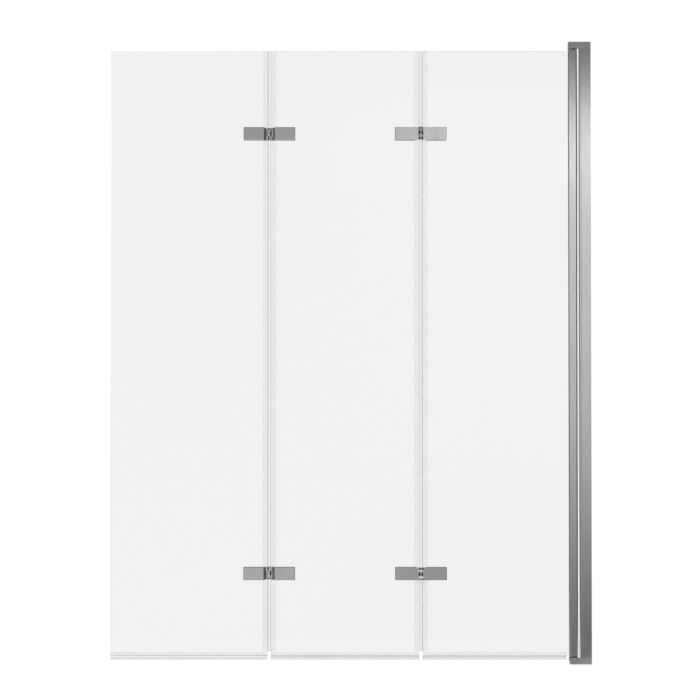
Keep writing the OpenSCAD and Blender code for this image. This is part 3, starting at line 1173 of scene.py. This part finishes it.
@dataclass
class HingePads:
    """Rubber pads between the glass of a panel and its hinge plates.

    Attributes:
        panel: Name of the panel.
        halves: Folds and sides that the panel has hinge halves on.
        thick: Thickness of a pad, in millimetres.
        height: Height of a pad.
        far: Far end of a pad from the fold.
        leaf_near: Near end of a pad under a leaf.
        clamp_near: Near end of a pad under a clamp.
        screws: Places of the screws from the fold.
        hole: Radius of the screw holes.
        glass: Thickness of the glass.
        axis: Distance from the middle of the glass to the fold's axis.
    """

    panel: str
    halves: tuple[tuple[Fold, Side], ...]
    thick: float = 1.0
    height: float = 28.0
    far: float = 57.5
    leaf_near: float = 6.3
    clamp_near: float = 12.5
    screws: Point = (22.0, 46.0)
    hole: float = 2.65
    glass: float = 6.0
    axis: float = 9.5

    def pad(self, near: float) -> Blank:
        """One pad, with rounded corners and its screw holes.

        Args:
            near: Its near end from the fold.

        Returns:
            The pad.
        """
        half, far = self.height / 2, self.far
        blank = Blank().outline([(near, -half), (far, -half), (far, half), (near, half)])
        for x in self.screws:
            blank.hole(x, 0.0, self.hole)
        blank.extrude(self.thick).round_off(0.5, segments=3)
        return blank.round_off(0.12, segments=1, rims=True)

    def build(self, book: FinishBook, body: str) -> None:
        """Models the pads.

        Args:
            book: The finishes.
            body: CAD body that they ride on.
        """
        piece = Piece(f"{self.panel}_hinge_pads", (book.rubber,))
        upright = Matrix(((1, 0, 0, 0), (0, 0, -1, 0), (0, 1, 0, 0), (0, 0, 0, 1)))
        leaf_face = (-self.axis + self.glass / 2 + self.thick) * MM
        clamp_face = (-self.axis - self.glass / 2) * MM
        for fold, side in self.halves:
            for level in LEVELS:
                foot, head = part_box(f"{level}_{fold.label}_pin_clamp")
                hinge = at_fold(fold, side, (foot.z + head.z) / 2)
                for near, face in ((self.leaf_near, leaf_face), (self.clamp_near, clamp_face)):
                    place = hinge @ Matrix.Translation((0.0, face, 0.0)) @ upright
                    piece.add(self.pad(near), place)
        piece.finish(body, "rubber", f"{self.panel}_hinge_gaskets")


@dataclass
class PivotEdge:
    """Pivot profile on the wall's side of the inner panel, with its bulb seal and glazing strips.

    Attributes:
        bulb_half: Half the width of the bulb, in millimetres.
        bulb_wall: Wall thickness of the bulb.
        foot: Corners of one half of the T-shaped foot, back from the profile's face.
        strip_y: Inner and outer face of the rear glazing strip.
        rib: Pitch and depth of the ribs on the outer side of the strip.
        ribs: Number of ribs.
    """

    bulb_half: float = 3.2
    bulb_wall: float = 0.8
    foot: tuple[Point, ...] = ((-2.1, -2.1), (-1.35, -2.1), (-1.2, -0.85), (0.0, -0.85))
    strip_y: Point = (3.04, 5.96)
    rib: Point = (1.6, 0.9)
    ribs: int = 2

    @property
    def axis_x(self) -> float:
        """Place of the pivot's axis across the screen, in millimetres."""
        return axis_of("wall_pivot")[0] / MM

    def arc(self, radius: float, half: float) -> list[Point]:
        """Points of an arc about the pivot's axis.

        Args:
            radius: Radius of the arc.
            half: How far it runs to each side of the axis.

        Returns:
            The points, from -half to half.
        """
        steps = 8
        rows = [half * (2 * step / steps - 1) for step in range(steps + 1)]
        return [(self.axis_x + math.sqrt(radius**2 - y**2), y) for y in rows]

    def bulb(self, length: float) -> Blank:
        """Hollow bulb on its T-shaped foot.

        Args:
            length: Length of the seal.

        Returns:
            The bulb.
        """
        half, wall = self.bulb_half, self.bulb_wall
        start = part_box("pivot_profile")[1].x / MM
        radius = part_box("pivot_seal")[1].x / MM - self.axis_x
        foot = [(start + x, y) for x, y in self.foot]
        outside = [*foot, (start, -half), *self.arc(radius, half), (start, half)]
        outside += [(x, -y) for x, y in reversed(foot)]
        hollow = [
            (start + wall, wall - half),
            *self.arc(radius - wall, half - wall),
            (start + wall, half - wall),
        ]
        return Blank().outline(outside).outline(hollow).extrude(length).round_off(0.2)

    def strip(self, near: float, far: float, length: float) -> Blank:
        """Rear glazing strip, ribbed on its outer side.

        Args:
            near: End at the mouth of the profile, in millimetres.
            far: End at the edge of the glass.
            length: Length of the strip.

        Returns:
            The strip.
        """
        inner, outer = self.strip_y
        pitch, depth = self.rib
        section = [(near, inner), (far, inner)]
        for x in (far - pitch * number for number in range(self.ribs)):
            section += [(x, outer - depth), (x - 0.5, outer), (x - 1.0, outer)]
        section += [(near + 1.9, outer), (near + 1.8, outer - 1.0), (near, outer - 1.05)]
        return Blank().outline(section).extrude(length).round_off(0.14)

    def build(self, book: FinishBook, body: str) -> None:
        """Models the bulb seal and the two glazing strips.

        Args:
            book: The finishes.
            body: CAD body that they ride on.
        """
        low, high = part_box("pivot_seal")
        seal = Piece("pivot_bulb_seal", (book.bulb,))
        seal.add(self.bulb((high.z - low.z) / MM), Matrix.Translation((0.0, 0.0, low.z)))
        seal.finish(body, "clear_vinyl", "pivot_seal")
        for name, sign in (("rear", 1), ("front", -1)):
            node = f"{name}_glazing_gasket"
            low, high = (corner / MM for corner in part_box(node))
            strip = Piece(f"{name}_glazing_strip", (book.rubber,))
            place = Matrix.Translation((0.0, 0.0, low.z * MM)) @ Matrix.Diagonal((1, sign, 1, 1))
            strip.add(self.strip(low.x, high.x, high.z - low.z), place)
            strip.finish(body, "rubber", node)

    def dress(self, book: FinishBook) -> None:
        """Finishes the profile and its moulded end pieces."""
        dress(book.drawn_chrome, "pivot_profile")
        # The dark nylon of the bushes is partly painted shade of the gaps at the ends of the
        # profile.
        dress(book.nylon, "top_pivot_bush", "bottom_pivot_bush")


@dataclass
class WallFrame:
    """Wall channel, post, pivot caps and their fasteners.

    Attributes:
        edge: Width to which the sharp edges of the cap castings are broken, in metres.
    """

    edge: float = 0.0003

    def dress(self, book: FinishBook) -> None:
        """Finishes what stays on the wall.

        Args:
            book: The finishes.
        """
        dress(book.channel, "wall_channel")
        dress(book.drawn_chrome, "wall_post")
        dress(book.cap_chrome, "top_pivot_cap", "bottom_pivot_cap", edge=self.edge)
        dress(book.cap_chrome, "screw_cover_caps")
        dress(book.steel, "top_pivot_pin", "bottom_pivot_pin", "cap_screws", "post_fixing_screws")
        # The dark nylon of the thrust washers is partly painted shade of the gaps at the ends of
        # the profile.
        dress(book.nylon, "top_thrust_washer", "bottom_thrust_washer")


@dataclass
class Panel:
    """A pane with its seals, hinge pads, screws and sleeves.

    Attributes:
        name: Name of the panel.
        halves: Folds and sides that it has hinge halves on.
        seals: Its edge seals.
        clear_band: Drops between which the lip of its drip seal is clear, in millimetres.
    """

    name: str
    halves: tuple[tuple[Fold, Side], ...]
    seals: tuple[FoldSeal, ...]
    clear_band: Point = (0.0, 0.0)

    @property
    def body(self) -> str:
        """CAD body that the panel is."""
        return f"{self.name}_panel"

    def build(self, book: FinishBook) -> None:
        """Models the seals and pads and finishes the rest.

        Args:
            book: The finishes.
        """
        DripSeal(self.name, self.clear_band).build(book, self.body)
        for seal in self.seals:
            seal.build(book, self.body)
        HingePads(self.name, self.halves).build(book, self.body)
        dress(book.glass, f"{self.name}_glass")
        dress(book.steel, f"{self.name}_hinge_screws")
        dress(book.nylon, f"{self.name}_glass_sleeves")


@dataclass
class FoldHinges:
    """The lower and the upper hinge of one fold.

    Attributes:
        fold: The fold.
        edge: Width to which the sharp edges of the plates are broken, in metres.
    """

    PLATES: ClassVar[tuple[str, ...]] = ("pin_leaf", "swing_leaf", "pin_clamp", "swing_clamp")

    fold: Fold
    edge: float = 0.00025

    def dress(self, book: FinishBook) -> None:
        """Finishes plates, pins and washers.

        Args:
            book: The finishes.
        """
        for level in LEVELS:
            name = f"{level}_{self.fold.label}"
            plates = (f"{name}_{plate}" for plate in self.PLATES)
            dress(book.plate_chrome, *plates, edge=self.edge)
            dress(book.steel, f"{name}_hinge_pin")
        dress(book.nylon, f"{self.fold.label}_washers")


# ---- Studio ----


@dataclass(frozen=True)
class Lamp:
    """A soft box.

    Attributes:
        name: Name of the lamp.
        place: Where it stands.
        size: Side of the box.
        level: Light that it adds on a white card that faces it, beside the screen.
    """

    name: str
    place: Triple
    size: float
    level: float

    def hang(self, target: Vector) -> None:
        """Makes the lamp and aims it.

        Args:
            target: Point that it is aimed at.
        """
        towards = target - Vector(self.place)
        light = bpy.data.lights.new(self.name, "AREA")
        light.shape = "SQUARE"
        light.size = self.size
        light.energy = self.level * math.pi**2 * towards.length_squared
        lamp = bpy.data.objects.new(self.name, light)
        lamp.location = self.place
        lamp.rotation_mode = "QUATERNION"
        lamp.rotation_quaternion = towards.to_track_quat("-Z", "Y")
        lamp.visible_camera = False
        lamp.visible_glossy = False
        bpy.context.scene.collection.objects.link(lamp)


@dataclass(frozen=True)
class Surround:
    """Brightness of the studio where metal mirrors it.

    It goes by the parts of the mirrored direction: x to the right, y to the back and z up. A
    ramp has levels by z. The pairs named a turn are values between which one thing runs into
    the next.

    Attributes:
        right: Ramp of the right panels, before the screen and behind it.
        left: Ramp of the left panels.
        walls: Ramp of the dark walls at the sides.
        panel_turn: From the left panels to the right ones, along x.
        white: Level of the backdrop beside the rear panels, and what it loses away from z = 0.
        white_turn: Where it loses that, along z.
        backdrop_turn: From the rear panels to the backdrop, along x.
        rear_light: What the walls gain towards the rear corners.
        rear_light_turn: Where they gain it, along y.
        front_light: What the walls gain towards the front corners.
        front_light_turn: Where they gain it, along -y.
        front_turn: From the walls to the front panels, along -y.
        rear_turn: From the walls to the rear panels, along y.
    """

    right: tuple[Point, ...] = (
        (-1.0, 0.50), (-0.260, 0.45), (-0.168, 0.13), (-0.132, 0.165), (-0.115, 0.255),
        (-0.092, 0.335), (-0.055, 0.525), (-0.030, 0.66), (0.020, 0.82), (0.070, 0.90),
        (0.093, 0.98), (0.104, 1.22), (0.121, 1.42), (0.142, 0.78), (0.158, 0.29),
        (0.163, 0.26), (0.170, 0.185), (0.190, 0.12), (0.300, 0.30), (1.0, 0.30),
    )
    left: tuple[Point, ...] = (
        (-1.0, 0.30), (-0.300, 0.62), (-0.092, 0.665), (0.126, 0.48), (0.300, 0.40),
        (1.0, 0.30),
    )
    walls: tuple[Point, ...] = (
        (-1.0, 0.60), (-0.250, 0.60), (-0.155, 0.05), (-0.120, 0.03), (0.175, 0.03),
        (0.300, 0.40), (0.600, 0.40), (1.0, 0.20),
    )
    panel_turn: Point = (-0.06, 0.125)
    white: Point = (1.18, 0.5)
    white_turn: Point = (0.25, 1.0)
    backdrop_turn: Point = (-0.05, -0.09)
    rear_light: float = 0.35
    rear_light_turn: Point = (0.3, 0.6)
    front_light: float = 0.14
    front_light_turn: Point = (0.6, 0.8)
    front_turn: Point = (0.92, 0.98)
    rear_turn: Point = (0.90, 0.992)

    def level(self, bench: Bench) -> Wire:
        """Brightness by direction.

        Args:
            bench: The bench of the surroundings.

        Returns:
            The brightness.
        """
        direction = bench.wire("ShaderNodeTexCoord", "Generated")
        parts = bench.node("ShaderNodeSeparateXYZ", {0: direction})
        x, y, z = (Wire(bench, parts.outputs[axis]) for axis in "XYZ")
        left, right = z.ramp(self.left), z.ramp(self.right)
        panels = left + (right - left) * x.step(*self.panel_turn)
        white, loss = self.white
        backdrop = white - abs(z).step(*self.white_turn) * loss
        rear = panels + (backdrop - panels) * x.step(*self.backdrop_turn)
        rear_light = y.step(*self.rear_light_turn) * self.rear_light
        front_light = (-y).step(*self.front_light_turn) * self.front_light
        side = z.ramp(self.walls) + (rear_light + front_light)
        front_share = (-y).step(*self.front_turn)
        rear_share = y.step(*self.rear_turn)
        return side + (panels - side) * front_share + (rear - side) * rear_share


@dataclass
class Studio:
    """Pale floor, soft light, surroundings and the camera.

    Attributes:
        lamps: The soft boxes.
        surround: What metal mirrors.
        rim_height: Height of the foot of the screen above the floor, as on a bath's rim.
        floor_side: Side of the floor.
        floor_middle: Middle of the floor.
        floor_tone: Colour of the floor.
        floor_glow: What is added where the floor is looked at or mirrored, so that it runs into
            the background, below the screen and at the floor's far edge.
        floor_turn: Distances from the wall's foot between which the one runs into the other.
        ambient: Level of the soft light from all round.
        stand_off: Distance from the camera to the front of the screen.
        frame_width: Width of the frame at the screen.
        eye: Place of the camera across and up.
        tilt: Degrees that the camera looks up.
    """

    lamps: tuple[Lamp, ...] = (
        Lamp("key_box", (-2.6, -3.4, 2.9), 2.2, 0.34),
        Lamp("fill_box", (2.3, -3.0, 1.6), 2.0, 0.16),
        Lamp("back_box", (-1.2, 3.2, 2.8), 2.4, 0.22),
    )
    surround: Surround = Surround()
    rim_height: float = 0.58
    floor_side: float = 9.0
    floor_middle: Point = (-0.54, 0.6)
    floor_tone: float = 0.32
    floor_glow: Point = (0.69, 0.768)
    floor_turn: Point = (1.4, 5.2)
    ambient: float = 0.62
    stand_off: float = 4.5
    frame_width: float = 1.5706
    eye: Point = (-0.5420, 0.6205)
    tilt: float = 1.076

    def build(self) -> None:
        """Makes the whole studio."""
        low, high = CAD_BOX
        for lamp in self.lamps:
            lamp.hang((low + high) / 2)
        self.floor()
        self.surroundings()
        self.camera()

    def floor(self) -> None:
        """Lays the floor below the bath's rim."""
        mesh = bmesh.new()
        bmesh.ops.create_grid(
            mesh,
            x_segments=2,
            y_segments=2,
            size=self.floor_side / 2,
            matrix=Matrix.Translation((*self.floor_middle, -self.rim_height)),
        )
        data = bpy.data.meshes.new("floor")
        mesh.to_mesh(data)
        mesh.free()
        floor = bpy.data.objects.new("floor", data)
        bpy.context.scene.collection.objects.link(floor)
        data.materials.append(new_finish("pale_floor", self._floor_surface))

    def _floor_surface(self, bench: Bench) -> Wire:
        """Matt floor that keeps shadows and otherwise runs into the white background.

        Args:
            bench: The bench of the material.

        Returns:
            The shader.
        """
        speckle = bench.noise(Drift.FLOOR_SPECKLE.value, detail=3.0)
        tone = self.floor_tone
        matt = bench.skin(
            {
                "Base Color": bench.blend(speckle, (tone,) * 3, (tone * 1.03,) * 3),
                "Roughness": 0.8 + speckle * 0.1,
            }
        )
        looked_at, glossy = bench.rays()
        near, far = self.floor_glow
        reach = bench.wire(
            "ShaderNodeVectorMath", "Value", {0: bench.place()}, operation="LENGTH"
        )
        level = near + reach.step(*self.floor_turn) * (far - near)
        glow = bench.wire(
            "ShaderNodeEmission", "Emission", {"Strength": (looked_at + glossy) * level}
        )
        return bench.wire("ShaderNodeAddShader", "Shader", {0: matt, 1: glow})

    def surroundings(self) -> None:
        """White where it is looked at, soft for light, and a studio where metal mirrors it."""
        world = bpy.data.worlds.new("studio")
        world.use_nodes = True
        bpy.context.scene.world = world
        bench = Bench(world.node_tree)
        looked_at, glossy = bench.rays()
        level = self.ambient + (self.surround.level(bench) - self.ambient) * glossy
        level = level + (1.0 - level) * looked_at.step(0.0, 0.5)
        light = bench.wire(
            "ShaderNodeBackground", "Background", {"Color": grey(1.0), "Strength": level}
        )
        bench.node("ShaderNodeOutputWorld", {"Surface": light})

    def camera(self) -> None:
        """Stands the camera where the photograph was taken from."""
        data = bpy.data.cameras.new("camera")
        data.sensor_width = 36.0
        data.lens = data.sensor_width * self.stand_off / self.frame_width
        data.clip_start, data.clip_end = 0.05, 100.0
        camera = bpy.data.objects.new("camera", data)
        camera.location = (self.eye[0], CAD_BOX[0].y - self.stand_off, self.eye[1])
        camera.rotation_euler = (math.radians(90.0 + self.tilt), 0.0, 0.0)
        bpy.context.scene.collection.objects.link(camera)
        bpy.context.scene.camera = camera


def set_view() -> None:
    """Sets how colours are shown, and lets rays through the many layers of folded glass."""
    scene = bpy.context.scene
    scene.view_settings.view_transform = "Standard"
    scene.cycles.transparent_max_bounces = 48


def main() -> None:
    """Builds the screen from its sub-assemblies, then the studio."""
    logging.basicConfig(level=logging.INFO, format="%(name)s: %(message)s")
    book = FinishBook.make()
    WallFrame().dress(book)
    pivot_edge = PivotEdge()
    pivot_edge.build(book, "inner_panel")
    pivot_edge.dress(book)
    near, far = Side.NEAR_WALL, Side.FAR_FROM_WALL
    panels = (
        Panel(
            "inner",
            ((Fold.INNER, near),),
            (FoldSeal("inner_edge_seal", Fold.INNER, near, fin=True, dense=True),),
        ),
        Panel(
            "middle",
            ((Fold.INNER, far), (Fold.OUTER, near)),
            (
                FoldSeal("middle_right_edge_seal", Fold.INNER, far),
                FoldSeal("middle_left_edge_seal", Fold.OUTER, near, fin=True),
            ),
        ),
        Panel(
            "outer",
            ((Fold.OUTER, far),),
            (FoldSeal("outer_edge_seal", Fold.OUTER, far, dense=True),),
            clear_band=(2.0, 4.3),
        ),
    )
    for panel in panels:
        panel.build(book)
    for fold in Fold:
        FoldHinges(fold).dress(book)
    Studio().build()
    set_view()


if __name__ == "__main__":
    main()
